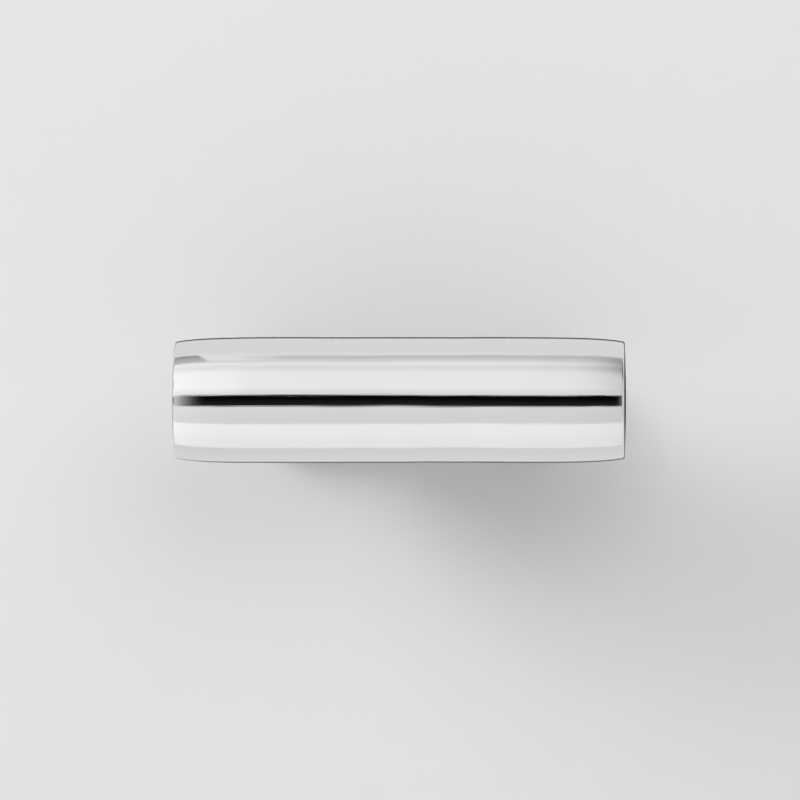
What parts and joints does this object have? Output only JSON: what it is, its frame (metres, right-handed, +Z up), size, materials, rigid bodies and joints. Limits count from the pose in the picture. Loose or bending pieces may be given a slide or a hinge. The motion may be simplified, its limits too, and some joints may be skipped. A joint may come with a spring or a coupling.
{
  "type": "door knocker",
  "caption": "Bar door knocker: a crowned round bar on a short hinged arm that is lifted and dropped on a through-bolted oval backplate.",
  "frame": {"origin": "the middle of the gasket's back face, where the knocker meets the outside face of the door", "axes": "+Z up the door, +X to the right of a person facing the door, +Y into the door"},
  "size_m": [0.09, 0.1072, 0.025],
  "materials": {
    "polished_nickel": "mirror polished nickel plate on brass",
    "brushed_nickel": "nickel plate on brass, brushed along its length",
    "satin_nickel": "satin nickel plate on brass",
    "stainless_steel": "turned and lightly brushed stainless steel",
    "nylon": "natural white nylon, turned",
    "black_rubber": "matt black sheet rubber"
  },
  "bodies": {
    "base": {"backplate": "brushed_nickel", "left_hinge_cheek": "polished_nickel", "right_hinge_cheek": "polished_nickel", "left_dome_nut": "satin_nickel", "right_dome_nut": "satin_nickel", "left_upper_cheek_screw": "stainless_steel", "right_upper_cheek_screw": "stainless_steel", "left_lower_cheek_screw": "stainless_steel", "right_lower_cheek_screw": "stainless_steel", "left_pivot_pin": "stainless_steel", "right_pivot_pin": "stainless_steel", "left_pin_grub_screw": "stainless_steel", "right_pin_grub_screw": "stainless_steel", "left_anvil_stud": "stainless_steel", "right_anvil_stud": "stainless_steel", "left_fixing_stud": "stainless_steel", "right_fixing_stud": "stainless_steel", "left_rear_washer": "stainless_steel", "right_rear_washer": "stainless_steel", "door_gasket": "black_rubber"},
    "knocker": {"swing_arm": "brushed_nickel", "handle_bar": "polished_nickel", "bar_bolt": "stainless_steel", "bar_bolt_washer": "stainless_steel", "left_pivot_bush": "nylon", "right_pivot_bush": "nylon", "left_striker_button": "stainless_steel", "right_striker_button": "stainless_steel", "left_bar_dowel": "stainless_steel", "right_bar_dowel": "stainless_steel"}
  },
  "joints": [
    {"name": "knocker_hinge", "type": "hinge", "parent": "base", "child": "knocker", "pos_m": [0, -0.013, 0.0035], "axis": [-1, 0, 0], "range_deg": [0, 80]}
  ]
}
